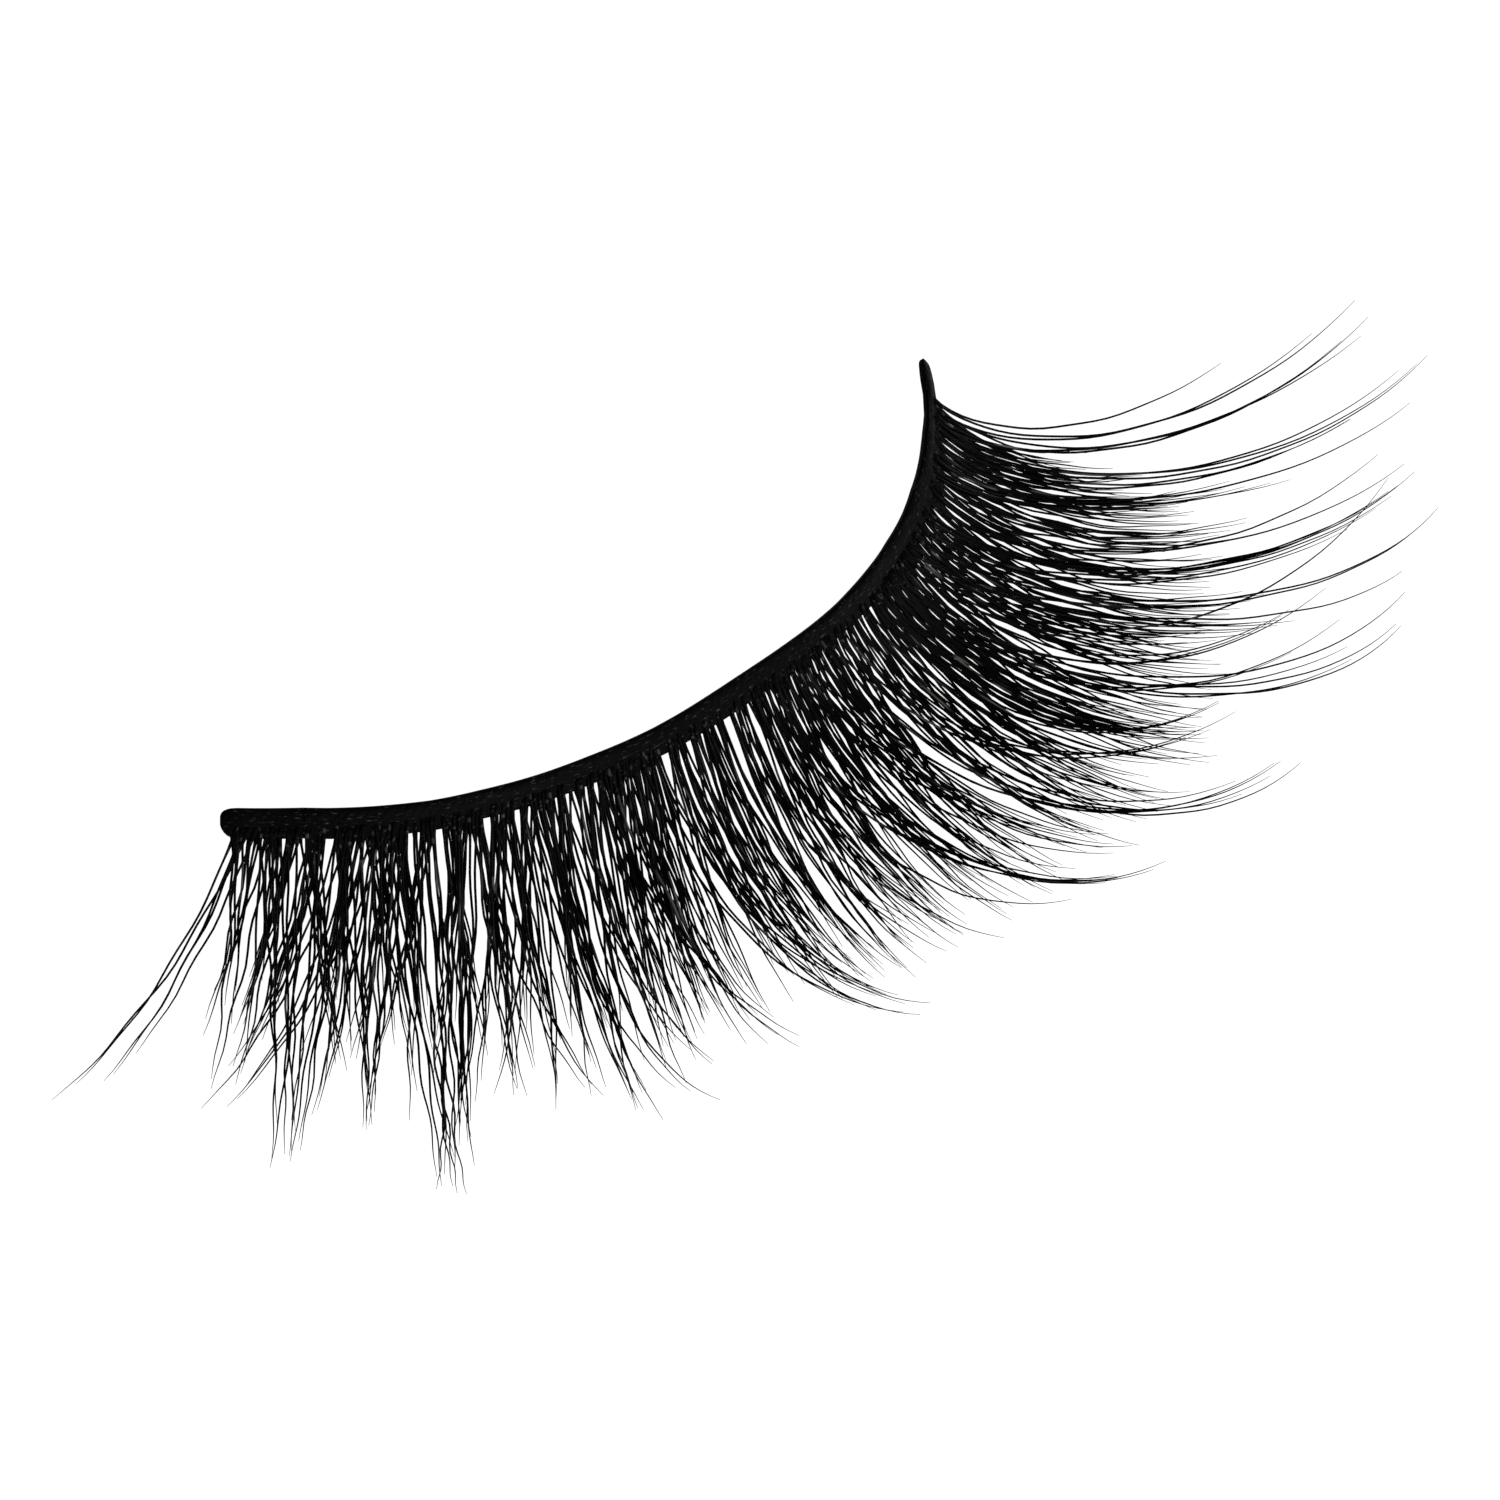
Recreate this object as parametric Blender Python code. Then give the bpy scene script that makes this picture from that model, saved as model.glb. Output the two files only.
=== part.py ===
"""False eyelash strip: a curved black band with a short and a long row of lashes.

Metres, +Z up. The strip lies as it does on a table: the curled lashes touch the
table with their bellies and hold the band above it. +X runs along the band from
the inner corner of the eye to the outer corner, and the lashes point towards -Y.
"""

import math

import bmesh
import bpy
from mathutils import Vector

MM = 0.001

# Band: a flat coated thread that follows the eyelid
BAND_WIDTH_MM = 0.66
BAND_THICKNESS_MM = 0.42
BAND_DIP_DEG = 50.0
BAND_SECTION_STEP_MM = 1.0
BAND_BEND = (
    # arc_mm, heading_deg
    (0.0, -41.0),
    (2.0, -39.5),
    (4.0, -36.0),
    (6.0, -30.5),
    (8.0, -24.0),
    (10.0, -18.0),
    (12.0, -12.5),
    (14.0, -7.0),
    (16.0, -1.5),
    (16.8, 0.0),
    (19.4, 0.0),
    (20.6, 3.5),
    (22.0, 7.5),
    (24.0, 15.0),
    (26.0, 25.5),
    (28.0, 36.5),
    (30.0, 47.0),
    (32.0, 52.0),
    (34.2, 52.0),
)
BAND_SIZE = (
    # arc_mm, share of the full section
    (-0.22, 0.50),
    (-0.12, 0.82),
    (0.05, 1.00),
    (1.00, 1.00),
    (16.90, 1.00),
    (17.30, 1.00),
    (18.90, 1.00),
    (19.30, 1.00),
    (29.00, 1.00),
    (31.50, 0.82),
    (33.00, 0.64),
    (33.90, 0.52),
    (34.20, 0.30),
)

# Lashes: each lock leaves the band's outer edge downwards and curls up again
CURL_DEG_PER_MM = 5.5
LASH_LINE_MM = (0.35, 32.95)
SHORT_DIP_DEG = -50.0
LONG_DIP_DEG = -47.0
STRIP_GAP_MM = 0.04
STRIP_DEPTH_MM = 0.28
STRIP_HEIGHT_MM = 0.17
LAYER_GAP_MM = 0.08
LOCK_FLATNESS = 0.24

SHORT_LOCKS = 34
SHORT_HALF_WIDTH_MM = 0.36
SHORT_ZONES = (
    # arc_mm, lean_deg, sweep_deg, length_mm
    (0.0, -8.0, 0.0, 8.0),
    (3.0, -8.0, 0.0, 8.2),
    (6.0, -10.0, 0.0, 8.6),
    (9.0, -12.0, 0.0, 9.0),
    (12.0, -13.0, 0.0, 9.9),
    (15.0, -14.0, 3.0, 10.3),
    (18.0, -10.0, 6.0, 11.3),
    (21.0, -5.0, 8.0, 12.2),
    (24.0, -1.0, 8.0, 12.8),
    (27.0, 1.0, 6.0, 12.4),
    (30.0, 2.0, 4.0, 11.6),
    (33.0, 6.0, 3.0, 9.8),
)
SHORT_UNEVEN = (1.0, 0.93, 0.98, 0.9, 0.96)

LONG_HALF_WIDTH_MM = 0.33
LONG_LOCKS = (
    # arc_mm, lean_deg, sweep_deg, length_mm
    (0.6, -34.0, 2.0, 11.2),
    (1.2, -10.0, 0.0, 8.9),
    (2.0, -12.0, 0.0, 8.9),
    (2.8, -4.0, 0.0, 12.6),
    (4.2, -28.0, -6.0, 10.9),
    (4.4, -3.0, 0.0, 10.6),
    (5.4, -9.0, 0.0, 10.8),
    (6.1, 0.0, -8.0, 14.8),
    (6.9, -5.0, -6.0, 12.0),
    (8.1, -16.0, -4.0, 11.4),
    (9.0, -13.0, 0.0, 10.0),
    (10.0, -13.0, 0.0, 10.8),
    (11.2, -14.0, 0.0, 12.9),
    (12.0, -18.0, 14.0, 13.0),
    (13.2, -19.0, 5.0, 10.9),
    (14.1, -20.0, 10.0, 11.3),
    (15.0, -20.0, 12.0, 11.8),
    (15.9, -21.0, 34.0, 14.8),
    (16.9, -15.0, 8.0, 10.8),
    (17.9, -13.0, 10.0, 11.2),
    (18.8, -10.0, 12.0, 11.2),
    (19.6, 1.0, 32.0, 16.4),
    (20.5, 4.0, 24.0, 13.6),
    (21.6, 4.0, 36.0, 18.4),
    (22.3, 9.0, 42.0, 14.6),
    (23.6, 4.0, 15.0, 13.4),
    (24.9, 11.0, 14.0, 19.4),
    (25.6, 8.0, 29.0, 15.8),
    (26.8, 8.0, 12.0, 18.4),
    (27.6, 5.0, 17.0, 19.2),
    (28.4, 4.0, 22.0, 17.2),
    (29.3, 3.0, 18.0, 16.8),
    (30.6, 1.0, 14.0, 17.6),
    (31.5, 1.0, 16.0, 18.4),
    (32.4, 7.0, 15.0, 16.8),
)

# Share of a lock's half width along its length
SHORT_TAPER = (
    # share_of_length, share_of_half_width
    (0.0, 1.0),
    (0.15, 1.08),
    (0.35, 1.25),
    (0.55, 1.25),
    (0.75, 1.0),
    (0.9, 0.6),
    (1.0, 0.14),
)
LONG_TAPER = (
    (0.0, 1.0),
    (0.14, 1.0),
    (0.28, 1.05),
    (0.42, 0.95),
    (0.55, 0.78),
    (0.67, 0.62),
    (0.78, 0.48),
    (0.89, 0.34),
    (1.0, 0.14),
)

# Where the strip sits: centred over the origin, resting on z = 0
CENTRE_X_MM = 16.7
CENTRE_Y_MM = -10.15
LASH_LINE_HEIGHT_MM = 4.02

BAND_BLACK = (0.0035, 0.0032, 0.0032, 1.0)
LASH_BLACK = (0.0045, 0.0040, 0.0042, 1.0)
LINE_STEP_MM = 0.1


def clear_scene():
    for item in list(bpy.data.objects):
        bpy.data.objects.remove(item, do_unlink=True)


def make_collection(name):
    group = bpy.data.collections.new(name)
    bpy.context.scene.collection.children.link(group)
    return group


def black_material(name, colour, roughness):
    material = bpy.data.materials.new(name)
    material.use_nodes = True
    shader = material.node_tree.nodes["Principled BSDF"]
    shader.inputs["Base Color"].default_value = colour
    shader.inputs["Roughness"].default_value = roughness
    shader.inputs["Metallic"].default_value = 0.0
    return material


def look_up(rows, key, column=1):
    """Value of a column at a key, in a straight line between the two rows around it."""
    if key <= rows[0][0]:
        return rows[0][column]
    for low, high in zip(rows, rows[1:]):
        if key <= high[0]:
            share = (key - low[0]) / (high[0] - low[0])
            return low[column] + share * (high[column] - low[column])
    return rows[-1][column]


def walk_eyelid_edge():
    """Points of the band's inner edge seen from above, one every LINE_STEP_MM."""
    x = -CENTRE_X_MM
    y = -CENTRE_Y_MM
    points = [(x, y)]
    for step in range(round(BAND_BEND[-1][0] / LINE_STEP_MM)):
        heading = math.radians(look_up(BAND_BEND, (step + 0.5) * LINE_STEP_MM))
        x += math.cos(heading) * LINE_STEP_MM
        y += math.sin(heading) * LINE_STEP_MM
        points.append((x, y))
    return points


EYELID_EDGE = walk_eyelid_edge()


def band_frame(arc_mm):
    """Place on the inner edge, the way the band's width runs, and the way its face looks."""
    heading = math.radians(look_up(BAND_BEND, arc_mm))
    along = Vector((math.cos(heading), math.sin(heading), 0.0))
    out = Vector((math.sin(heading), -math.cos(heading), 0.0))
    near = min(max(round(arc_mm / LINE_STEP_MM), 0), len(EYELID_EDGE) - 1)
    place = Vector((*EYELID_EDGE[near], 0.0)) + along * (arc_mm - near * LINE_STEP_MM)
    dip = math.radians(BAND_DIP_DEG)
    width_way = out * math.cos(dip) - Vector((0.0, 0.0, math.sin(dip)))
    face_way = out * math.sin(dip) + Vector((0.0, 0.0, math.cos(dip)))
    place.z = LASH_LINE_HEIGHT_MM + BAND_WIDTH_MM * math.sin(dip)
    return place, width_way, face_way, heading


def band_place(arc_mm, across_mm, above_mm):
    """Point across_mm down the band's width and above_mm off its middle plane."""
    place, width_way, face_way, heading = band_frame(arc_mm)
    return place + width_way * across_mm + face_way * above_mm


def flat_section(name, points, group):
    """Closed outline that a sweep is made with; x is sideways and y is up."""
    curve = bpy.data.curves.new(name, "CURVE")
    curve.dimensions = "2D"
    curve.fill_mode = "NONE"
    spline = curve.splines.new("POLY")
    spline.points.add(len(points) - 1)
    for point, (x, y) in zip(spline.points, points):
        point.co = (x * MM, y * MM, 0.0, 1.0)
    spline.use_cyclic_u = True
    outline = bpy.data.objects.new(name, curve)
    outline.hide_render = True
    outline.display_type = "WIRE"
    group.objects.link(outline)
    return outline


def dipped_box(depth_mm, height_mm, corner_mm):
    """Outline of a bar with cut corners, turned so that its depth runs down the band."""
    half = depth_mm / 2.0
    high = height_mm / 2.0
    corners = (
        (-half, -high + corner_mm),
        (-half + corner_mm, -high),
        (half - corner_mm, -high),
        (half, -high + corner_mm),
        (half, high - corner_mm),
        (half - corner_mm, high),
        (-half + corner_mm, high),
        (-half, high - corner_mm),
    )
    dip = math.radians(BAND_DIP_DEG)
    turned = []
    for across, above in corners:
        side = across * math.cos(dip) + above * math.sin(dip)
        up = -across * math.sin(dip) + above * math.cos(dip)
        turned.append((side, up))
    return turned


def lens_outline(flatness):
    """Six-sided flat lens with a half width of one."""
    return [
        (math.cos(math.radians(angle)), flatness * math.sin(math.radians(angle)))
        for angle in range(0, 360, 60)
    ]


def sweep(name, outline, routes, group):
    """Mesh object made by one outline along each route of (point, size) pairs."""
    curve = bpy.data.curves.new(name + "_route", "CURVE")
    curve.dimensions = "3D"
    curve.twist_mode = "Z_UP"
    curve.bevel_mode = "OBJECT"
    curve.bevel_object = outline
    curve.bevel_resolution = 2
    curve.render_resolution_u = 0
    curve.use_fill_caps = True
    for route in routes:
        spline = curve.splines.new("POLY")
        spline.points.add(len(route) - 1)
        for point, (place, size) in zip(spline.points, route):
            point.co = (*(place * MM), 1.0)
            point.radius = size
    carrier = bpy.data.objects.new(name + "_route", curve)
    group.objects.link(carrier)
    bpy.context.view_layer.update()
    evaluated = carrier.evaluated_get(bpy.context.evaluated_depsgraph_get())
    mesh = bpy.data.meshes.new_from_object(evaluated)
    mesh.name = name
    swept = bpy.data.objects.new(name, mesh)
    swept.matrix_world = carrier.matrix_world
    group.objects.link(swept)
    bpy.data.objects.remove(carrier, do_unlink=True)
    shape = bmesh.new()
    shape.from_mesh(mesh)
    bmesh.ops.remove_doubles(shape, verts=shape.verts, dist=1e-6)
    bmesh.ops.recalc_face_normals(shape, faces=shape.faces)
    shape.to_mesh(mesh)
    shape.free()
    return swept


def lock_route(arc_mm, lean_deg, sweep_deg, length_mm, dip_deg, above_mm, taper, half_mm):
    """Route of one lock: it leaves at its dip and curls up by the same angle per mm."""
    place, width_way, face_way, heading = band_frame(arc_mm)
    start_mm = BAND_WIDTH_MM + STRIP_GAP_MM + STRIP_DEPTH_MM / 2.0
    spot = place + width_way * start_mm + face_way * above_mm
    first = heading - math.pi / 2.0 + math.radians(lean_deg)
    route = [(spot.copy(), taper[0][1] * half_mm)]
    slices = 4
    for row, following in zip(taper, taper[1:]):
        for part in range(slices):
            share = row[0] + (following[0] - row[0]) * (part + 0.5) / slices
            rise = math.radians(dip_deg + CURL_DEG_PER_MM * share * length_mm)
            turn = first + math.radians(sweep_deg) * share
            pace = (following[0] - row[0]) / slices * length_mm
            level = math.cos(rise) * pace
            step = (level * math.cos(turn), level * math.sin(turn), math.sin(rise) * pace)
            spot = spot + Vector(step)
        route.append((spot.copy(), following[1] * half_mm))
    return route


def root_strip(name, above_mm, group):
    """Thin bar that holds one row of lashes, just below the band."""
    outline = flat_section(
        name + "_outline", dipped_box(STRIP_DEPTH_MM, STRIP_HEIGHT_MM, 0.03), group
    )
    middle_mm = BAND_WIDTH_MM + STRIP_GAP_MM + STRIP_DEPTH_MM / 2.0
    first, last = LASH_LINE_MM
    count = round((last - first) / BAND_SECTION_STEP_MM)
    route = []
    for index in range(count + 1):
        arc_mm = first + (last - first) * index / count
        route.append((band_place(arc_mm, middle_mm, above_mm), 1.0))
    return sweep(name, outline, [route], group)


def finish(item, group, cutters, material):
    """Applies the modifiers, then moves the object to the collection of parts."""
    bpy.context.view_layer.update()
    evaluated = item.evaluated_get(bpy.context.evaluated_depsgraph_get())
    mesh = bpy.data.meshes.new_from_object(evaluated)
    item.modifiers.clear()
    item.data = mesh
    mesh.name = item.name
    mesh.materials.clear()
    mesh.materials.append(material)
    for face in mesh.polygons:
        face.use_smooth = True
    cutters.objects.unlink(item)
    group.objects.link(item)


def make_band(parts, cutters):
    """Flat thread with blunt inner end and narrow rounded outer tail."""
    outline = flat_section(
        "band_outline", dipped_box(BAND_WIDTH_MM, BAND_THICKNESS_MM, 0.09), cutters
    )
    last = BAND_BEND[-1][0]
    stops = [row[0] for row in BAND_SIZE]
    count = round(last / BAND_SECTION_STEP_MM)
    for index in range(1, count):
        arc_mm = last * index / count
        if all(abs(arc_mm - row[0]) > 0.45 * BAND_SECTION_STEP_MM for row in BAND_SIZE):
            stops.append(arc_mm)
    route = []
    for arc_mm in sorted(stops):
        size = look_up(BAND_SIZE, arc_mm)
        route.append((band_place(arc_mm, BAND_WIDTH_MM / 2.0, 0.0), size))
    band = sweep("lash_band", outline, [route], cutters)
    finish(band, parts, cutters, black_material("coated_thread", BAND_BLACK, 0.55))
    return band


def make_fringe(name, routes, above_mm, parts, cutters, material):
    """Joins the locks and the strip that holds them into one solid."""
    strip = root_strip(name, above_mm, cutters)
    outline = flat_section(name + "_lens", lens_outline(LOCK_FLATNESS), cutters)
    locks = bpy.data.collections.new(name + "_locks")
    cutters.children.link(locks)
    for number, route in enumerate(routes):
        lock = sweep(f"{name}_lock_{number:02d}", outline, [route], locks)
        lock.hide_render = True
        lock.display_type = "WIRE"
    union = strip.modifiers.new("join_locks", "BOOLEAN")
    union.operation = "UNION"
    union.solver = "EXACT"
    union.operand_type = "COLLECTION"
    union.collection = locks
    finish(strip, parts, cutters, material)
    return strip


def short_routes(above_mm):
    first, last = LASH_LINE_MM
    routes = []
    for index in range(SHORT_LOCKS):
        inset = SHORT_HALF_WIDTH_MM
        share = index / (SHORT_LOCKS - 1)
        arc_mm = first + inset + (last - first - 2.0 * inset) * share
        lean_deg = look_up(SHORT_ZONES, arc_mm, 1)
        sweep_deg = look_up(SHORT_ZONES, arc_mm, 2)
        length_mm = look_up(SHORT_ZONES, arc_mm, 3) * SHORT_UNEVEN[index % len(SHORT_UNEVEN)]
        routes.append(
            lock_route(
                arc_mm,
                lean_deg,
                sweep_deg,
                length_mm,
                SHORT_DIP_DEG,
                above_mm,
                SHORT_TAPER,
                SHORT_HALF_WIDTH_MM,
            )
        )
    return routes


def long_routes(above_mm):
    routes = []
    for arc_mm, lean_deg, sweep_deg, length_mm in LONG_LOCKS:
        routes.append(
            lock_route(
                arc_mm,
                lean_deg,
                sweep_deg,
                length_mm,
                LONG_DIP_DEG,
                above_mm,
                LONG_TAPER,
                LONG_HALF_WIDTH_MM,
            )
        )
    return routes


clear_scene()
parts = make_collection("false_eyelash_strip")
cutters = make_collection("outlines_and_locks")
lash_material = black_material("lash_fibre", LASH_BLACK, 0.38)
layer_mm = (STRIP_HEIGHT_MM + LAYER_GAP_MM) / 2.0
make_band(parts, cutters)
make_fringe("short_lashes", short_routes(-layer_mm), -layer_mm, parts, cutters, lash_material)
make_fringe("long_lashes", long_routes(layer_mm), layer_mm, parts, cutters, lash_material)
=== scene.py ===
"""False eyelash strip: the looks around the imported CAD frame.

The strip lies on a white light table. A flat black band follows the eyelid, and two
rows of tapered fibres grow from it: a short dense row and a long wispy row in front.
Lengths here are in millimetres until a mesh is finished, and then in metres.
"""

import math
import random

import bmesh
import bpy
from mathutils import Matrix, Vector, noise


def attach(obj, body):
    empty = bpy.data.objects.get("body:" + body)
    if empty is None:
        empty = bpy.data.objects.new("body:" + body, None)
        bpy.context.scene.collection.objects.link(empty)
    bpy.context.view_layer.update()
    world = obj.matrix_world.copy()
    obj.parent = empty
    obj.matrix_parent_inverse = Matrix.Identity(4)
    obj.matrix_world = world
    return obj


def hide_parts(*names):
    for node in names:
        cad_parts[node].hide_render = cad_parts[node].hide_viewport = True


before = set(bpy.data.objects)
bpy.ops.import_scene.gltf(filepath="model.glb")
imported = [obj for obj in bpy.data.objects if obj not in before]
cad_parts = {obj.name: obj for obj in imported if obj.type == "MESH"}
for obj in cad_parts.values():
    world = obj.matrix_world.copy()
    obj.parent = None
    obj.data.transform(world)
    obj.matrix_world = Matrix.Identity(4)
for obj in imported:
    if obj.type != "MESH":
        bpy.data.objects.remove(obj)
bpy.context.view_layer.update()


# The view. A long lens looks down on the strip at 50 degrees, from in front and 40
# degrees round to the inner end, so the picture is almost without perspective and
# the strip runs from the lower left to the upper right.
MM = 0.001
VIEW_AZIMUTH_DEG = -40.0
VIEW_ELEVATION_DEG = 50.0
VIEW_DISTANCE_MM = 350.0
VIEW_WIDTH_MM = 48.39
VIEW_TARGET_MM = (-2.71, 0.38, 5.79)
VIEW_NEAR_MM = 20.0
VIEW_FAR_MM = 5000.0
SENSOR_MM = 36.0


def away_from(azimuth_deg, elevation_deg):
    """The way from the object towards a viewer or a lamp."""
    azimuth = math.radians(azimuth_deg)
    elevation = math.radians(elevation_deg)
    level = math.cos(elevation)
    return Vector((math.sin(azimuth) * level, -math.cos(azimuth) * level, math.sin(elevation)))


def aim(item, azimuth_deg, elevation_deg, distance_mm):
    """Puts a camera or a lamp out there and turns it to the strip."""
    way = away_from(azimuth_deg, elevation_deg)
    item.location = (Vector(VIEW_TARGET_MM) + way * distance_mm) * MM
    item.rotation_euler = (-way).to_track_quat("-Z", "Y").to_euler()


camera = bpy.data.objects.new("photo_camera", bpy.data.cameras.new("photo_camera"))
camera.data.sensor_width = SENSOR_MM
camera.data.lens = SENSOR_MM * VIEW_DISTANCE_MM / VIEW_WIDTH_MM
camera.data.clip_start = VIEW_NEAR_MM * MM
camera.data.clip_end = VIEW_FAR_MM * MM
aim(camera, VIEW_AZIMUTH_DEG, VIEW_ELEVATION_DEG, VIEW_DISTANCE_MM)
bpy.context.scene.collection.objects.link(camera)
bpy.context.scene.camera = camera


# The table and the light. The ground is a light table of white acrylic, lit from
# below, so it is the brightest thing and shows no shadow. Two soft boxes graze the
# strip and give the band and the fibres their faint sheen.
TABLE_HALF_MM = 600.0
TABLE_WHITE = "FFFFFF"
TABLE_MATT = "9A9A9A"
TABLE_GLOW = 1.0
ROOM_WHITE = "FFFFFF"
ROOM_STRENGTH = 0.03
SOFT_BOXES = (
    # name, azimuth_deg, elevation_deg, distance_mm, width_mm, watts
    ("soft_box_front", -12.0, 24.0, 420.0, 220.0, 1.4),
    ("soft_box_right", 50.0, 10.0, 420.0, 160.0, 1.1),
)


def linear(hex_colour):
    """An sRGB hex colour as linear red, green, blue and alpha."""
    parts = [int(hex_colour[at:at + 2], 16) / 255.0 for at in (0, 2, 4)]
    straight = [c / 12.92 if c <= 0.04045 else ((c + 0.055) / 1.055) ** 2.4 for c in parts]
    return (*straight, 1.0)


def add_node(tree, kind, settings=None, inputs=None):
    """Adds a node; an input is given a value, or another node's output to read."""
    made = tree.nodes.new(kind)
    for name, value in (settings or {}).items():
        setattr(made, name, value)
    for name, value in (inputs or {}).items():
        if isinstance(value, bpy.types.NodeSocket):
            tree.links.new(value, made.inputs[name])
        else:
            made.inputs[name].default_value = value
    return made


def new_material(name):
    """An empty material with its Principled shader."""
    material = bpy.data.materials.new(name)
    material.use_nodes = True
    return material, material.node_tree, material.node_tree.nodes["Principled BSDF"]


def lit_table():
    """White opal acrylic, lit from below."""
    material, tree, shader = new_material("opal_acrylic_light_table")
    shader.inputs["Base Color"].default_value = linear(TABLE_MATT)
    shader.inputs["Roughness"].default_value = 0.9
    shader.inputs["Specular IOR Level"].default_value = 0.0
    shader.inputs["Emission Color"].default_value = linear(TABLE_WHITE)
    shader.inputs["Emission Strength"].default_value = TABLE_GLOW
    return material


def make_table():
    """A flat sheet, far wider than the picture."""
    shape = bmesh.new()
    bmesh.ops.create_grid(shape, x_segments=1, y_segments=1, size=TABLE_HALF_MM * MM)
    mesh = bpy.data.meshes.new("light_table")
    shape.to_mesh(mesh)
    shape.free()
    table = bpy.data.objects.new("light_table", mesh)
    mesh.materials.append(lit_table())
    bpy.context.scene.collection.objects.link(table)


make_table()

for name, azimuth_deg, elevation_deg, distance_mm, width_mm, watts in SOFT_BOXES:
    lamp = bpy.data.lights.new(name, "AREA")
    lamp.shape = "SQUARE"
    lamp.size = width_mm * MM
    lamp.energy = watts
    box = bpy.data.objects.new(name, lamp)
    aim(box, azimuth_deg, elevation_deg, distance_mm)
    bpy.context.scene.collection.objects.link(box)

room = bpy.data.worlds.new("pale_room")
room.use_nodes = True
room.node_tree.nodes["Background"].inputs["Color"].default_value = linear(ROOM_WHITE)
room.node_tree.nodes["Background"].inputs["Strength"].default_value = ROOM_STRENGTH
bpy.context.scene.world = room
bpy.context.scene.view_settings.view_transform = "Standard"


# The band. On the real strip it is a cotton thread with the fibre ends laid across
# it and the whole dipped in black latex. It is flat, has a thick bead on the eyelid
# side and a thin ledge on the lash side, and keeps the curve of the eyelid.
# The middle of the CAD model, seen from above, measured from the band's inner end.
CENTRE_X_MM = 16.7
CENTRE_Y_MM = -10.15
LASH_LINE_HEIGHT_MM = 4.02
CAD_BAND_WIDTH_MM = 0.66
BAND_DIP_DEG = 50.0
# The way the eyelid edge of the band runs, seen from above.
BAND_BEND = (
    # arc_mm, heading_deg
    (0.0, -41.0),
    (2.0, -39.5),
    (4.0, -36.0),
    (6.0, -30.5),
    (8.0, -24.0),
    (10.0, -18.0),
    (12.0, -12.5),
    (14.0, -7.0),
    (16.0, -1.5),
    (16.8, 0.0),
    (19.4, 0.0),
    (20.6, 3.5),
    (22.0, 7.5),
    (24.0, 15.0),
    (26.0, 25.5),
    (28.0, 36.5),
    (30.0, 47.0),
    (32.0, 52.0),
    (34.2, 52.0),
)
BAND_SHAPE = (
    # arc_mm, width_mm, share_of_thickness, middle_mm
    (-0.10, 0.30, 0.34, 0.31),
    (-0.06, 0.52, 0.54, 0.32),
    (0.02, 0.72, 0.74, 0.345),
    (0.12, 0.86, 0.87, 0.37),
    (0.25, 0.96, 0.96, 0.39),
    (0.45, 1.01, 1.00, 0.40),
    (2.60, 1.01, 1.00, 0.40),
    (3.40, 1.02, 1.00, 0.44),
    (6.70, 0.99, 1.00, 0.49),
    (8.30, 0.94, 1.00, 0.45),
    (12.30, 0.90, 1.00, 0.45),
    (14.60, 0.96, 1.00, 0.53),
    (17.40, 0.98, 1.00, 0.53),
    (20.30, 0.92, 1.00, 0.45),
    (22.60, 0.92, 1.00, 0.43),
    (24.20, 0.97, 1.00, 0.39),
    (25.70, 1.00, 1.00, 0.37),
    (27.00, 0.97, 1.00, 0.38),
    (28.20, 0.94, 1.00, 0.38),
    (29.20, 0.86, 1.00, 0.42),
    (31.00, 0.72, 0.95, 0.50),
    (31.85, 0.61, 0.90, 0.57),
    (32.75, 0.59, 0.88, 0.57),
    (33.46, 0.61, 0.86, 0.48),
    (33.92, 0.55, 0.82, 0.41),
    (34.08, 0.49, 0.76, 0.39),
    (34.18, 0.40, 0.66, 0.38),
    (34.25, 0.26, 0.46, 0.37),
)
BEAD_HALF_MM = 0.155
LEDGE_HALF_MM = 0.085
BEAD_ENDS_AT = 0.52
LEDGE_STARTS_AT = 0.68
# The outline is an ellipse at 1.0, and is squarer the smaller these are.
EDGE_ROUNDNESS = 0.55
FACE_ROUNDNESS = 0.5
BAND_SIDES = 28
BAND_STEP_MM = 0.12
BAND_EVEN_FROM_MM = 0.5
BAND_EVEN_TO_MM = 33.9
BAND_LUMP_MM = 0.024
BAND_LUMP_LENGTH_MM = 0.7
BAND_LUMPS_ROUND = 1.5
BAND_WANDER_MM = 0.012
BAND_WANDER_LENGTH_MM = 2.3
BAND_WANDER_ROW = 5.0
BACK_PATTERN_SHIFT_MM = 3.0
SORTING_LINE = Vector((0.8, 0.5, 0.3))
EDGE_STEP_MM = 0.1
LINE_SHUFFLE = 23.0
# The sockets of a Mix node that is set to colours: its two inputs and its output.
MIX_FIRST = 6
MIX_SECOND = 7
MIXED = 2


def look_up(rows, key, column=1):
    """Value of a column at a key, in a straight line between the two rows around it."""
    if key <= rows[0][0]:
        return rows[0][column]
    for low, high in zip(rows, rows[1:]):
        if key <= high[0]:
            share = (key - low[0]) / (high[0] - low[0])
            return low[column] + share * (high[column] - low[column])
    return rows[-1][column]


def walk_eyelid_edge():
    """Points of the band's inner edge seen from above, one every EDGE_STEP_MM."""
    x = -CENTRE_X_MM
    y = -CENTRE_Y_MM
    points = [(x, y)]
    for step in range(round(BAND_BEND[-1][0] / EDGE_STEP_MM)):
        heading = math.radians(look_up(BAND_BEND, (step + 0.5) * EDGE_STEP_MM))
        x += math.cos(heading) * EDGE_STEP_MM
        y += math.sin(heading) * EDGE_STEP_MM
        points.append((x, y))
    return points


EYELID_EDGE = walk_eyelid_edge()


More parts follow.
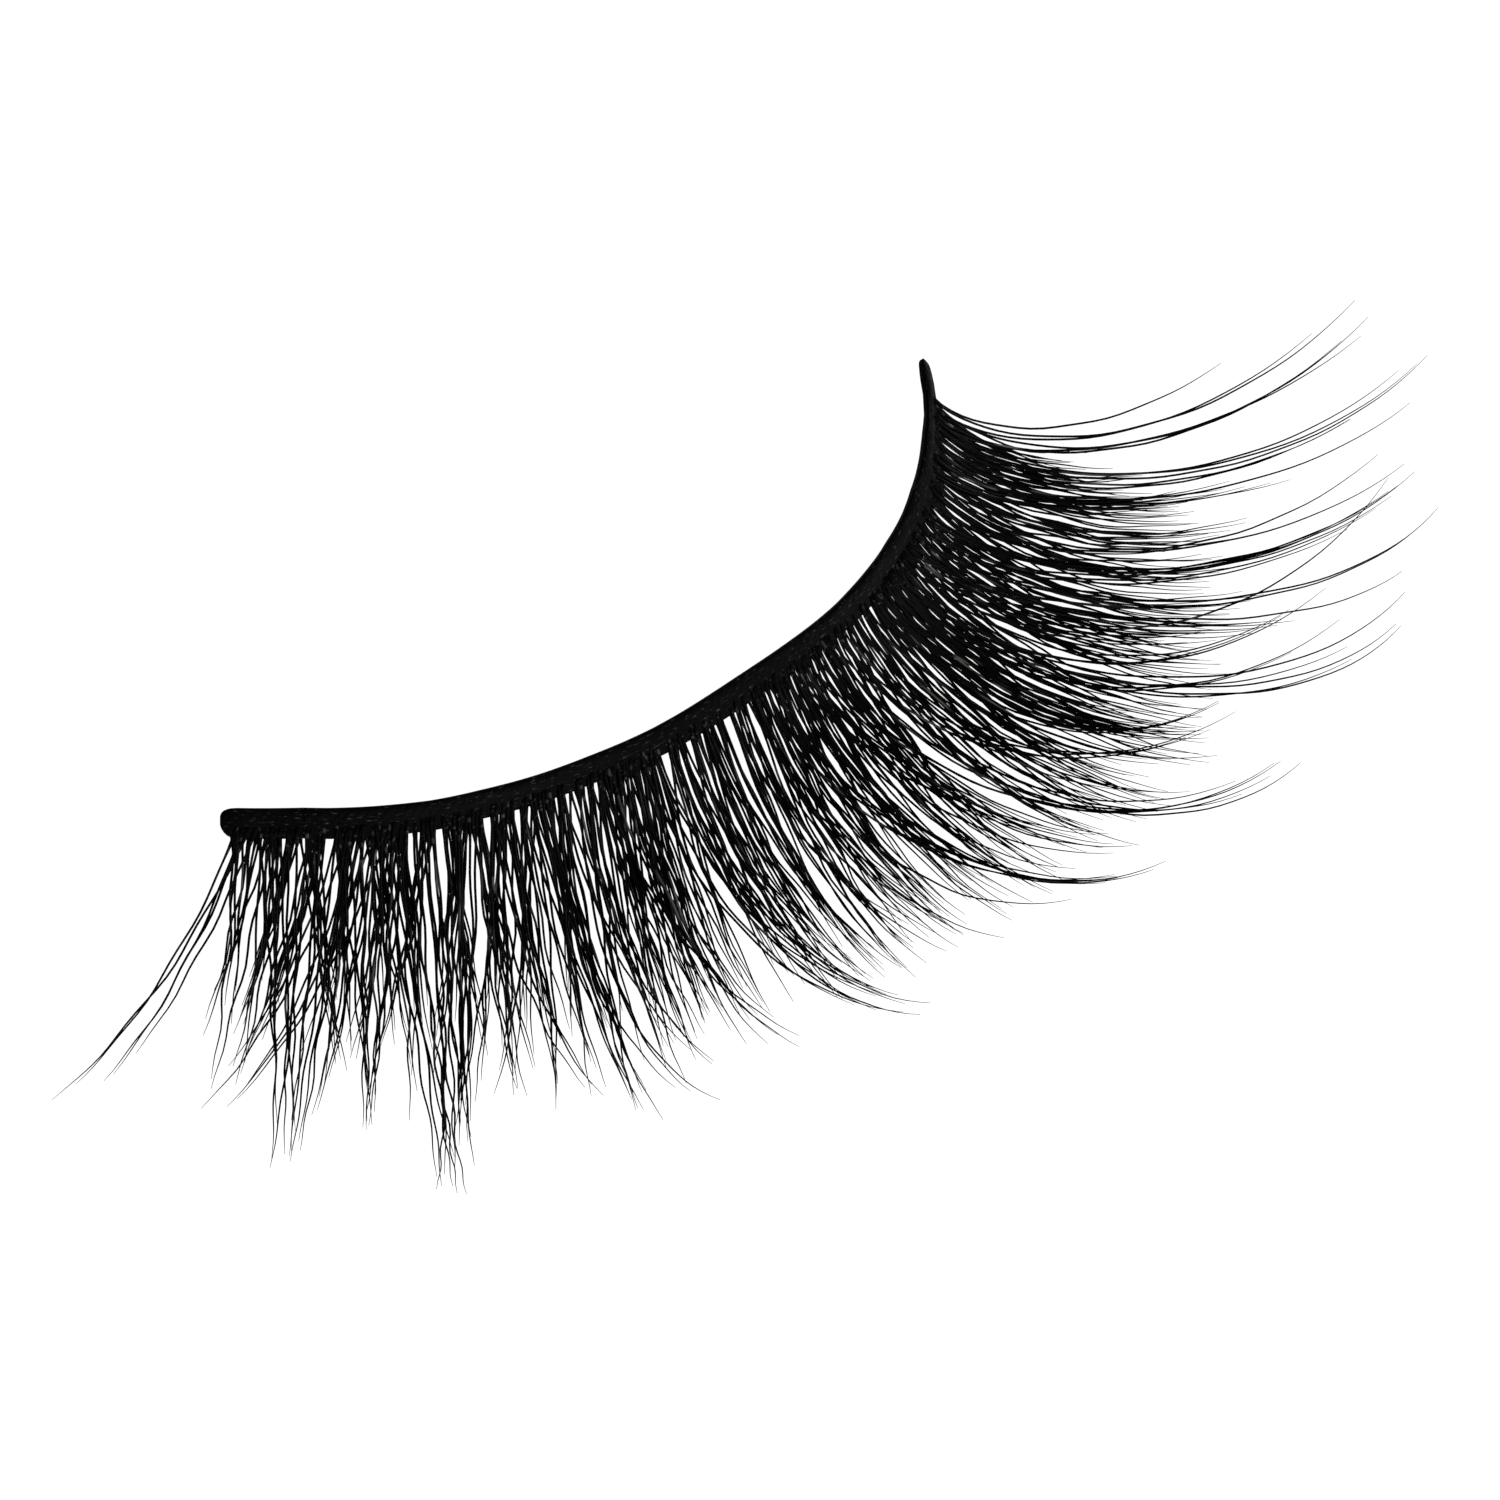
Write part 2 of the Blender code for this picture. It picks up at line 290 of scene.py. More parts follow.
def band_place(arc_mm, across_mm, above_mm):
    """Point across_mm down the band from its eyelid edge and above_mm in front of its middle."""
    heading = math.radians(look_up(BAND_BEND, arc_mm))
    along = Vector((math.cos(heading), math.sin(heading), 0.0))
    out = Vector((math.sin(heading), -math.cos(heading), 0.0))
    near = min(max(round(arc_mm / EDGE_STEP_MM), 0), len(EYELID_EDGE) - 1)
    place = Vector((*EYELID_EDGE[near], 0.0)) + along * (arc_mm - near * EDGE_STEP_MM)
    dip = math.radians(BAND_DIP_DEG)
    place.z = LASH_LINE_HEIGHT_MM + CAD_BAND_WIDTH_MM * math.sin(dip)
    place += (out * math.cos(dip) - Vector((0.0, 0.0, math.sin(dip)))) * across_mm
    return place + (out * math.sin(dip) + Vector((0.0, 0.0, math.cos(dip)))) * above_mm


def squared_off(wave, power):
    """A sine or cosine pushed towards -1 and 1, the more so the smaller the power."""
    return math.copysign(abs(wave) ** power, wave)


def band_outline(arc_mm, angle):
    """Across and above, in mm, of one point of the band's outline at one arc length."""
    width_mm = look_up(BAND_SHAPE, arc_mm, 1)
    share = 0.5 - 0.5 * squared_off(math.cos(angle), EDGE_ROUNDNESS)
    step = min(max((share - BEAD_ENDS_AT) / (LEDGE_STARTS_AT - BEAD_ENDS_AT), 0.0), 1.0)
    half_mm = BEAD_HALF_MM + (LEDGE_HALF_MM - BEAD_HALF_MM) * step * step * (3.0 - 2.0 * step)
    half_mm *= look_up(BAND_SHAPE, arc_mm, 2)
    above_mm = squared_off(math.sin(angle), FACE_ROUNDNESS) * half_mm
    spot = Vector((
        arc_mm / BAND_LUMP_LENGTH_MM,
        math.cos(angle) * BAND_LUMPS_ROUND,
        math.sin(angle) * BAND_LUMPS_ROUND,
    ))
    above_mm += noise.noise(spot) * BAND_LUMP_MM * math.sin(angle)
    middle_mm = look_up(BAND_SHAPE, arc_mm, 3)
    spot = Vector((arc_mm / BAND_WANDER_LENGTH_MM, BAND_WANDER_ROW, 0.0))
    middle_mm += BAND_WANDER_MM * noise.noise(spot)
    return middle_mm + (share - 0.5) * width_mm, above_mm


def painted_highlight_line(tree, line_half, highlight_seed_low, highlight_seed_high):
    """How far a point lies on its fibre's painted highlight, a thin pale line: 0 to 1.

    Each fibre has its own random value, which says where around it the painted
    highlight runs and how strong it is. The band has none, so it gets no line.
    """
    own = add_node(tree, "ShaderNodeAttribute", {"attribute_name": "painted_highlight_seed"})
    chart = add_node(tree, "ShaderNodeUVMap", {"uv_map": "UVMap"})
    around = add_node(tree, "ShaderNodeSeparateXYZ", inputs={"Vector": chart.outputs["UV"]})
    turned = add_node(
        tree,
        "ShaderNodeMath",
        {"operation": "MULTIPLY_ADD"},
        {0: own.outputs["Fac"], 1: LINE_SHUFFLE, 2: around.outputs["X"]},
    )
    lap = add_node(
        tree,
        "ShaderNodeMath",
        {"operation": "PINGPONG"},
        {0: turned.outputs["Value"], 1: 0.5},
    )
    on_line = add_node(
        tree,
        "ShaderNodeMapRange",
        inputs={
            "Value": lap.outputs["Value"],
            "From Min": line_half,
            "From Max": line_half * 2.0,
            "To Min": 1.0,
            "To Max": 0.0,
        },
    )
    caught = add_node(
        tree,
        "ShaderNodeMapRange",
        inputs={"Value": own.outputs["Fac"], "From Min": highlight_seed_low, "From Max": highlight_seed_high},
    )
    return add_node(
        tree,
        "ShaderNodeMath",
        {"operation": "MULTIPLY"},
        {0: on_line.outputs["Result"], 1: caught.outputs["Result"]},
    ).outputs["Value"]


def latex_coated_cotton():
    """Black latex over twisted cotton: satin, a little lumpy, with paler dust specks.

    Scales are per mm of the band. The twist of the thread shows through as faint
    slanting ribs 0.2 mm apart, and the dipped latex has lumps of 0.2 mm. The specks
    are 0.06 mm wide and 0.3 mm long: real dust is finer, and is drawn as coarse as it
    needs to show. A thin grey line on each coated root is a painted highlight of the
    fibre under the latex.
    """
    material, tree, shader = new_material("latex_coated_cotton")
    along = add_node(tree, "ShaderNodeAttribute", {"attribute_name": "along_mm"})
    across = add_node(tree, "ShaderNodeAttribute", {"attribute_name": "across_mm"})
    spot = add_node(
        tree,
        "ShaderNodeCombineXYZ",
        inputs={"X": along.outputs["Fac"], "Y": across.outputs["Fac"]},
    ).outputs["Vector"]
    ribs = add_node(
        tree,
        "ShaderNodeTexWave",
        {"wave_type": "BANDS", "bands_direction": "DIAGONAL"},
        {"Vector": spot, "Scale": 2.0, "Distortion": 2.5, "Detail": 2.0, "Detail Scale": 3.0},
    )
    lumps = add_node(
        tree,
        "ShaderNodeTexNoise",
        inputs={"Vector": spot, "Scale": 5.0, "Detail": 4.0, "Roughness": 0.6},
    )
    drawn_out = add_node(
        tree,
        "ShaderNodeMapping",
        inputs={"Vector": spot, "Scale": (0.22, 1.0, 1.0)},
    )
    dust = add_node(
        tree,
        "ShaderNodeTexNoise",
        inputs={
            "Vector": drawn_out.outputs["Vector"],
            "Scale": 16.0,
            "Detail": 3.0,
            "Roughness": 0.6,
        },
    )
    specks = add_node(
        tree,
        "ShaderNodeMapRange",
        inputs={"Value": dust.outputs["Fac"], "From Min": 0.60, "From Max": 0.76},
    )
    black = add_node(
        tree,
        "ShaderNodeMix",
        {"data_type": "RGBA"},
        {
            "Factor": lumps.outputs["Fac"],
            MIX_FIRST: linear("040404"),
            MIX_SECOND: linear("090808"),
        },
    )
    dusty = add_node(
        tree,
        "ShaderNodeMix",
        {"data_type": "RGBA"},
        {
            "Factor": specks.outputs["Result"],
            MIX_FIRST: black.outputs[MIXED],
            MIX_SECOND: linear("4A4744"),
        },
    )
    # Painted highlight: a thin grey line along each coated root, where the fibre under the latex
    # would shine.
    coat_highlighted = add_node(
        tree,
        "ShaderNodeMix",
        {"data_type": "RGBA"},
        {
            "Factor": painted_highlight_line(tree, line_half=0.04, highlight_seed_low=0.4, highlight_seed_high=1.0),
            MIX_FIRST: dusty.outputs[MIXED],
            MIX_SECOND: linear("3C3A38"),
        },
    )
    tree.links.new(coat_highlighted.outputs[MIXED], shader.inputs["Base Color"])
    satin = add_node(
        tree,
        "ShaderNodeMapRange",
        inputs={"Value": lumps.outputs["Fac"], "To Min": 0.34, "To Max": 0.62},
    )
    tree.links.new(satin.outputs["Result"], shader.inputs["Roughness"])
    raised = add_node(
        tree,
        "ShaderNodeMath",
        {"operation": "ADD"},
        {0: lumps.outputs["Fac"], 1: ribs.outputs["Fac"]},
    )
    bump = add_node(
        tree,
        "ShaderNodeBump",
        inputs={"Height": raised.outputs["Value"], "Strength": 0.5, "Distance": 0.01 * MM},
    )
    tree.links.new(bump.outputs["Normal"], shader.inputs["Normal"])
    shader.inputs["IOR"].default_value = 1.5
    shader.inputs["Specular IOR Level"].default_value = 0.014
    return material


LATEX_MATERIAL = latex_coated_cotton()


def place_ring(ring, layers, arc_mm):
    """Moves one ring of the band's points to its arc length."""
    along_layer, across_layer = layers
    for number, point in enumerate(ring):
        angle = 2.0 * math.pi * number / BAND_SIDES
        across_mm, above_mm = band_outline(arc_mm, angle)
        point.co = band_place(arc_mm, across_mm, above_mm) * MM
        point[along_layer] = arc_mm
        point[across_layer] = across_mm + (0.0 if above_mm > 0.0 else BACK_PATTERN_SHIFT_MM)


def along_sorting_line(part):
    """How far a vertex, an edge or a face of the band lies along one slanted line."""
    points = [part] if isinstance(part, bmesh.types.BMVert) else part.verts
    return sum(point.co.dot(SORTING_LINE) for point in points) / len(points)


def make_band():
    """One outline is extruded from the inner end to the tail, and both ends are closed."""
    first = BAND_SHAPE[0][0]
    last = BAND_SHAPE[-1][0]
    stops = {row[0] for row in BAND_SHAPE}
    for index in range(round((last - first) / BAND_STEP_MM)):
        arc_mm = first + (index + 0.5) * BAND_STEP_MM
        if BAND_EVEN_FROM_MM < arc_mm < BAND_EVEN_TO_MM:
            stops.add(arc_mm)
    shape = bmesh.new()
    layers = [shape.verts.layers.float.new(name) for name in ("along_mm", "across_mm")]
    made = bmesh.ops.create_circle(shape, cap_ends=False, segments=BAND_SIDES, radius=1.0)
    ring = made["verts"]
    edges = list(shape.edges)
    place_ring(ring, layers, first)
    bmesh.ops.contextual_create(shape, geom=edges)
    for arc_mm in sorted(stops)[1:]:
        grown = bmesh.ops.extrude_edge_only(shape, edges=edges)["geom"]
        fresh = [item for item in grown if isinstance(item, bmesh.types.BMEdge)]
        points = {item for item in grown if isinstance(item, bmesh.types.BMVert)}
        following = []
        for point in ring:
            others = [edge.other_vert(point) for edge in point.link_edges]
            following.append(next(other for other in others if other in points))
        ring = following
        edges = [e for e in fresh if e.verts[0] in points and e.verts[1] in points]
        place_ring(ring, layers, arc_mm)
    bmesh.ops.contextual_create(shape, geom=edges)
    bmesh.ops.recalc_face_normals(shape, faces=shape.faces)
    # An extrusion lists its new parts in any order, so they are sorted, and each run
    # gives the same mesh.
    for parts in (shape.verts, shape.edges, shape.faces):
        parts.sort(key=along_sorting_line)
    mesh = bpy.data.meshes.new("coated_band")
    for face in shape.faces:
        face.smooth = True
    shape.to_mesh(mesh)
    shape.free()
    band = bpy.data.objects.new("coated_band", mesh)
    mesh.materials.append(LATEX_MATERIAL)
    bpy.context.scene.collection.objects.link(band)
    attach(band, "root")
    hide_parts("lash_band")


make_band()


# The short row. It is a dense run of small tufts of fine black polyester fibre, each
# fibre tapered to a point and set in a curl by heat. The fibres of a tuft leave the
# band side by side and draw together, so that neighbouring tufts cross.
CURL_DEG_PER_MM = 5.5
ROOT_ACROSS_MM = 0.84
ROOT_BURIED_MM = 0.34
FIBRE_STEP_MM = 0.5
ROOT_STEPS_MM = (0.0, 0.18, 0.4, 0.7)
FIBRE_ROOT_RADIUS_MM = 0.035
FIBRE_TIP_RADIUS_MM = 0.008
FIBRE_TAPER_POWER = 3.0
FEWEST_STEPS = 8
TUBE_SIDES = 6
CAP_MERGE_MM = 0.0001
FIRST_ROOT_MM = 0.25
LAST_ROOT_MM = 32.75
ROOT_JITTER = 0.35
ROOT_DEPTH_JITTER_MM = 0.04
ROOT_MARGIN_MM = 0.02
WEAVE_LENGTH_MM = 3.2
WEAVE_LENGTH_SHARES = (0.8, 1.3)
WEAVE_SIZE_SHARES = (0.4, 1.0)
SHORT_DIP_DEG = -50.0
SHORT_DEPTH_MM = -0.05
SHORT_SEED = 7
SHORT_MARGIN_MM = 0.1
SHORT_FIRST_MM = 0.6
SHORT_LAST_MM = 32.8
SHORT_LENGTH_SHARES = (0.88, 1.04)
SHORT_COUNT_SPAN = (-0.5, 1.0)
SHORT_TURN_DEG = 2.1
SHORT_TURN_PER_CROSS = 0.175
SHORT_STRAY_MM = 0.25
SHORT_WEAVE_MM = 0.09
SHORT_LIFT_MM = 0.3
# How the row leans, sweeps and grows along the band.
SHORT_ZONES = (
    # arc_mm, lean_deg, sweep_deg, length_mm
    (0.5, -8.0, 0.0, 6.8),
    (3.0, -8.0, 0.0, 8.0),
    (6.0, -10.0, 0.0, 8.4),
    (9.0, -12.0, 0.0, 8.8),
    (12.0, -13.0, 0.0, 9.8),
    (15.0, -14.0, 3.0, 10.2),
    (18.0, -10.0, 6.0, 11.2),
    (21.0, -5.0, 8.0, 12.2),
    (24.0, -1.0, 8.0, 12.8),
    (27.0, 1.0, 6.0, 12.4),
    (30.0, 2.0, 4.0, 11.6),
    (32.6, 1.5, 2.5, 7.0),
)
# How close, how far crossed and how full its tufts are.
SHORT_TUFTS = (
    # arc_mm, pitch_mm, cross_deg, fibres, spread_mm, shortest_share
    (0.5, 0.5, 6.0, 3.4, 0.35, 0.5),
    (1.5, 0.5, 9.0, 4.6, 0.3, 0.6),
    (2.7, 0.55, 12.0, 6.0, 0.3, 0.68),
    (3.6, 0.55, 12.0, 5.2, 0.3, 0.7),
    (4.6, 0.55, 12.0, 5.6, 0.3, 0.7),
    (5.4, 0.55, 12.0, 5.8, 0.3, 0.7),
    (6.1, 0.55, 12.0, 4.4, 0.3, 0.7),
    (6.8, 0.55, 12.0, 5.4, 0.3, 0.7),
    (7.6, 0.55, 12.0, 5.4, 0.3, 0.7),
    (8.6, 0.55, 10.0, 4.2, 0.3, 0.72),
    (9.4, 0.55, 9.0, 4.6, 0.32, 0.74),
    (10.2, 0.5, 8.0, 5.8, 0.36, 0.76),
    (11.3, 0.5, 7.0, 3.8, 0.36, 0.76),
    (12.1, 0.5, 6.0, 3.4, 0.36, 0.76),
    (13.0, 0.5, 6.0, 7.0, 0.55, 0.76),
    (14.0, 0.48, 3.0, 5.6, 0.55, 0.76),
    (15.1, 0.45, 2.0, 3.0, 0.55, 0.76),
    (16.2, 0.42, 2.0, 3.2, 0.55, 0.78),
    (17.0, 0.42, 3.0, 5.6, 0.6, 0.78),
    (17.8, 0.42, 3.0, 3.4, 0.6, 0.78),
    (18.6, 0.4, 4.0, 5.0, 0.6, 0.78),
    (19.6, 0.4, 4.0, 7.0, 0.6, 0.8),
    (20.6, 0.4, 4.0, 6.2, 0.6, 0.8),
    (21.6, 0.4, 4.0, 4.8, 0.6, 0.82),
    (22.6, 0.4, 4.0, 5.2, 0.6, 0.84),
    (24.2, 0.4, 4.0, 6.4, 0.6, 0.84),
    (26.0, 0.4, 4.0, 5.6, 0.6, 0.84),
    (28.0, 0.4, 4.0, 7.2, 0.6, 0.84),
    (30.0, 0.4, 4.0, 7.2, 0.6, 0.84),
    (31.4, 0.4, 4.0, 6.6, 0.55, 0.8),
    (32.6, 0.4, 4.0, 6.4, 0.5, 0.7),
)
# Towards the outer end the fibres leave the band turned back, and swing round within
# a millimetre or two.
ROOT_TURN_LENGTH_MM = 0.7
ROOT_TURN = (
    # arc_mm, turn_deg
    (18.0, 0.0),
    (28.0, -20.0),
    (33.0, -30.0),
)
# Bare places on the band, where the ground shows between the roots.
ROOT_GAPS = (
    # arc_mm, width_mm
    (1.95, 0.22),
    (2.57, 0.18),
    (3.42, 0.36),
    (5.95, 0.2),
    (6.25, 0.12),
    (6.85, 0.26),
    (8.4, 0.34),
    (9.4, 0.28),
    (10.75, 0.12),
    (11.1, 0.26),
    (11.75, 0.12),
    (12.1, 0.24),
    (14.6, 0.4),
    (15.5, 0.3),
    (16.1, 0.1),
    (17.1, 0.4),
)
# How far a fibre's lean strays from its tuft's, and how it draws in to the tuft's
# middle: evenly at 1.0, and late below that.
SHORT_LOOSE = (
    # arc_mm, loose_deg
    (0.0, 1.6),
    (9.0, 1.8),
    (15.0, 3.0),
)
SHORT_DRAW = (
    # arc_mm, draw_power
    (0.0, 1.0),
    (9.0, 1.0),
    (14.0, 0.9),
)


def out_of_gap(arc_mm, margin_mm):
    """Moves a root that falls in one of the bare gaps of the band to the gap's near side."""
    for centre_mm, width_mm in ROOT_GAPS:
        keep_mm = width_mm / 2.0 + margin_mm
        if abs(arc_mm - centre_mm) < keep_mm:
            return centre_mm + math.copysign(keep_mm, arc_mm - centre_mm)
    return arc_mm


def fibre_way(arc_mm, lean_deg, sweep_deg, dip_deg, length_mm, gone_mm):
    """The way that a curled fibre runs after gone_mm of its length."""
    heading_deg = look_up(BAND_BEND, arc_mm) - 90.0 + lean_deg
    heading_deg += sweep_deg * gone_mm / length_mm
    heading_deg += look_up(ROOT_TURN, arc_mm) * math.exp(-gone_mm / ROOT_TURN_LENGTH_MM)
    level = math.radians(heading_deg)
    rise = math.radians(dip_deg + CURL_DEG_PER_MM * gone_mm)
    flat = math.cos(rise)
    return Vector((flat * math.cos(level), flat * math.sin(level), math.sin(rise)))


def grow_tuft(chance, tuft):
    """Fibres of one tuft, as (arc_mm, points in mm, share of its length at each point)."""
    base = band_place(tuft["arc_mm"], ROOT_ACROSS_MM, tuft["depth_mm"])
    heading = math.radians(look_up(BAND_BEND, tuft["arc_mm"]))
    along = Vector((math.cos(heading), math.sin(heading), 0.0))
    count = tuft["fibres"]
    fibres = []
    for number in range(count):
        place = (number + 0.5 + chance.uniform(-ROOT_JITTER, ROOT_JITTER)) / count
        arc_mm = tuft["arc_mm"] + (place * 2.0 - 1.0) * tuft["spread_mm"]
        arc_mm = min(max(arc_mm, FIRST_ROOT_MM), LAST_ROOT_MM)
        arc_mm = out_of_gap(arc_mm, ROOT_MARGIN_MM)
        longest = number == count // 2
        reach = 1.0 if longest else chance.uniform(tuft["shortest_share"], 1.0)
        lean_deg = tuft["lean_deg"] + chance.uniform(-1.0, 1.0) * tuft["loose_deg"]
        sideways_mm = chance.uniform(-1.0, 1.0) * tuft["stray_mm"]
        lifted_mm = chance.uniform(0.0, 1.0) * tuft["lift_mm"]
        depth_mm = chance.uniform(-ROOT_DEPTH_JITTER_MM, ROOT_DEPTH_JITTER_MM)
        depth_mm += tuft["depth_mm"]
        root = band_place(arc_mm, ROOT_ACROSS_MM, depth_mm)
        shift = root - base
        whole_mm = tuft["length_mm"] * reach
        free_from_mm = ROOT_STEPS_MM[-1]
        steps = max(FEWEST_STEPS, round((whole_mm - free_from_mm) / FIBRE_STEP_MM))
        step_mm = (whole_mm - free_from_mm) / steps
        stops = [*ROOT_STEPS_MM, *(free_from_mm + (n + 1) * step_mm for n in range(steps))]
        way_of = (tuft["arc_mm"], lean_deg, tuft["sweep_deg"], tuft["dip_deg"], tuft["length_mm"])
        weave_mm = chance.uniform(*WEAVE_SIZE_SHARES) * tuft["weave_mm"]
        phase = chance.uniform(0.0, 2.0 * math.pi)
        turns = whole_mm / (WEAVE_LENGTH_MM * chance.uniform(*WEAVE_LENGTH_SHARES))
        middle = base.copy()
        first_way = fibre_way(*way_of, 0.0)
        points = [root - first_way * ROOT_BURIED_MM, root]
        shares = [0.0, 0.0]
        for before_mm, gone_mm in zip(stops, stops[1:]):
            way = fibre_way(*way_of, (before_mm + gone_mm) / 2.0)
            middle = middle + way * (gone_mm - before_mm)
            share = min(gone_mm / whole_mm, 1.0)
            drawn = shift * (1.0 - share * reach) ** tuft["draw_power"]
            drifted = along * sideways_mm * share * share
            lifted = Vector((0.0, 0.0, lifted_mm * share * share))
            woven = along * weave_mm * math.sin(phase + 2.0 * math.pi * turns * share)
            woven *= 4.0 * share * (1.0 - share)
            points.append(middle + drawn + drifted + lifted + woven)
            shares.append(share)
        fibres.append((arc_mm, points, shares))
    return fibres


def crimped_polyester():
    """Black polyester monofilament, drawn and heat-curled: deep black with a soft sheen.

    Scales are per mm. Its colour drifts over about 1 mm. The marks of drawing are
    finer than can show, so they are drawn 0.1 mm apart, where they break up the
    shine. The fibre is too thin for its own highlight to show, so a broken pale line
    along each one is a painted highlight, the shine of its drawn skin.
    """
    material, tree, shader = new_material("crimped_polyester_fibre")
    spot = add_node(tree, "ShaderNodeTexCoord").outputs["Object"]
    drift = add_node(
        tree,
        "ShaderNodeTexNoise",
        inputs={"Vector": spot, "Scale": 0.9 / MM, "Detail": 2.0, "Roughness": 0.5},
    )
    marks = add_node(
        tree,
        "ShaderNodeTexNoise",
        inputs={"Vector": spot, "Scale": 9.0 / MM, "Detail": 3.0, "Roughness": 0.6},
    )
    black = add_node(
        tree,
        "ShaderNodeMix",
        {"data_type": "RGBA"},
        {
            "Factor": drift.outputs["Fac"],
            MIX_FIRST: linear("040404"),
            MIX_SECOND: linear("0A0808"),
        },
    )
    # Painted highlight: a pale line along each fibre, broken into pieces by the colour drift.
    broken = add_node(
        tree,
        "ShaderNodeMapRange",
        inputs={"Value": drift.outputs["Fac"], "From Min": 0.46, "From Max": 0.66},
    )
    shine = add_node(
        tree,
        "ShaderNodeMath",
        {"operation": "MULTIPLY"},
        {
            0: painted_highlight_line(tree, line_half=0.07, highlight_seed_low=0.3, highlight_seed_high=0.9),
            1: broken.outputs["Result"],
        },
    )
    fibre_highlighted = add_node(
        tree,
        "ShaderNodeMix",
        {"data_type": "RGBA"},
        {
            "Factor": shine.outputs["Value"],
            MIX_FIRST: black.outputs[MIXED],
            MIX_SECOND: linear("5A5653"),
        },
    )
    tree.links.new(fibre_highlighted.outputs[MIXED], shader.inputs["Base Color"])
    gloss = add_node(
        tree,
        "ShaderNodeMapRange",
        inputs={"Value": marks.outputs["Fac"], "To Min": 0.2, "To Max": 0.4},
    )
    tree.links.new(gloss.outputs["Result"], shader.inputs["Roughness"])
    bump = add_node(
        tree,
        "ShaderNodeBump",
        inputs={"Height": marks.outputs["Fac"], "Strength": 0.25, "Distance": 0.004 * MM},
    )
    tree.links.new(bump.outputs["Normal"], shader.inputs["Normal"])
    shader.inputs["IOR"].default_value = 1.57
    shader.inputs["Specular IOR Level"].default_value = 0.02
    return material


FIBRE_MATERIAL = crimped_polyester()


def fibre_radius(share):
    """Radius in mm: almost even for the first half, then drawn to a point."""
    return FIBRE_ROOT_RADIUS_MM * (1.0 - share ** FIBRE_TAPER_POWER) + FIBRE_TIP_RADIUS_MM


def tubes(name, routes, material):
    """Mesh of one round tapered tube along each route of (points, radii), all in mm."""
    curve = bpy.data.curves.new(name + "_line", "CURVE")
    curve.dimensions = "3D"
    # With this depth a point's radius is its radius in mm.
    curve.bevel_depth = MM
    curve.bevel_resolution = (TUBE_SIDES - 4) // 2
    curve.use_fill_caps = True
    for points, radii in routes:
        spline = curve.splines.new("POLY")
        spline.points.add(len(points) - 1)
        for spot, place, radius in zip(spline.points, points, radii):
            spot.co = (*(place * MM), 1.0)
            spot.radius = radius
    carrier = bpy.data.objects.new(name + "_line", curve)
    bpy.context.scene.collection.objects.link(carrier)
    bpy.context.view_layer.update()
    evaluated = carrier.evaluated_get(bpy.context.evaluated_depsgraph_get())
    mesh = bpy.data.meshes.new_from_object(evaluated)
    mesh.name = name
    # Each tube gets a random value that places its painted highlight and sets how strong it is.
    chance = random.Random(len(routes))
    own = [chance.random() for _ in routes]
    # The curve's mesh holds the two end caps of each tube first, from the last tube back.
    highlight_seeds = [highlight_seed for highlight_seed in reversed(own) for _ in range(2 * TUBE_SIDES)]
    for highlight_seed, (points, _) in zip(own, routes):
        highlight_seeds += [highlight_seed] * (len(points) * TUBE_SIDES)
    layer = mesh.attributes.new("painted_highlight_seed", "FLOAT", "POINT")
    layer.data.foreach_set("value", highlight_seeds)
    bpy.data.objects.remove(carrier, do_unlink=True)
    shape = bmesh.new()
    shape.from_mesh(mesh)
    bmesh.ops.remove_doubles(shape, verts=shape.verts, dist=CAP_MERGE_MM * MM)
    bmesh.ops.recalc_face_normals(shape, faces=shape.faces)
    for face in shape.faces:
        face.smooth = True
    shape.to_mesh(mesh)
    shape.free()
    mesh.materials.clear()
    mesh.materials.append(material)
    made = bpy.data.objects.new(name, mesh)
    bpy.context.scene.collection.objects.link(made)
    return made


def make_row(name, fibres, node):
    """One row of fibres as one mesh, in place of its row of solid locks."""
    routes = [(points, [fibre_radius(share) for share in shares]) for _, points, shares in fibres]
    row = tubes(name, routes, FIBRE_MATERIAL)
    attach(row, "root")
    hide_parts(node)


def short_fibres():
    """Fibres of the short row: every other tuft leans across its neighbour."""
    chance = random.Random(SHORT_SEED)
    fibres = []
    arc_mm = SHORT_FIRST_MM
    side = 1.0
    while arc_mm < SHORT_LAST_MM:
        home_mm = out_of_gap(arc_mm, SHORT_MARGIN_MM)
        pitch_mm, cross_deg, count, spread_mm, shortest = [
            look_up(SHORT_TUFTS, arc_mm, column) for column in (1, 2, 3, 4, 5)
        ]
        turn_deg = SHORT_TURN_DEG + SHORT_TURN_PER_CROSS * cross_deg
        lean_deg = look_up(SHORT_ZONES, arc_mm, 1) + side * cross_deg
        tuft = {
            "arc_mm": home_mm,
            "lean_deg": lean_deg + chance.uniform(-turn_deg, turn_deg),
            "sweep_deg": look_up(SHORT_ZONES, arc_mm, 2),
            "length_mm": look_up(SHORT_ZONES, arc_mm, 3) * chance.uniform(*SHORT_LENGTH_SHARES),
            "fibres": round(count + chance.uniform(*SHORT_COUNT_SPAN)),
            "spread_mm": spread_mm,
            "shortest_share": shortest,
            "dip_deg": SHORT_DIP_DEG,
            "depth_mm": SHORT_DEPTH_MM,
            "stray_mm": SHORT_STRAY_MM,
            "loose_deg": look_up(SHORT_LOOSE, arc_mm),
            "weave_mm": SHORT_WEAVE_MM,
            "lift_mm": SHORT_LIFT_MM,
            "draw_power": look_up(SHORT_DRAW, arc_mm),
        }
        fibres += grow_tuft(chance, tuft)
        arc_mm += pitch_mm
        side = -side
    return fibres


SHORT_FIBRES = short_fibres()
make_row("short_row", SHORT_FIBRES, "short_lashes")


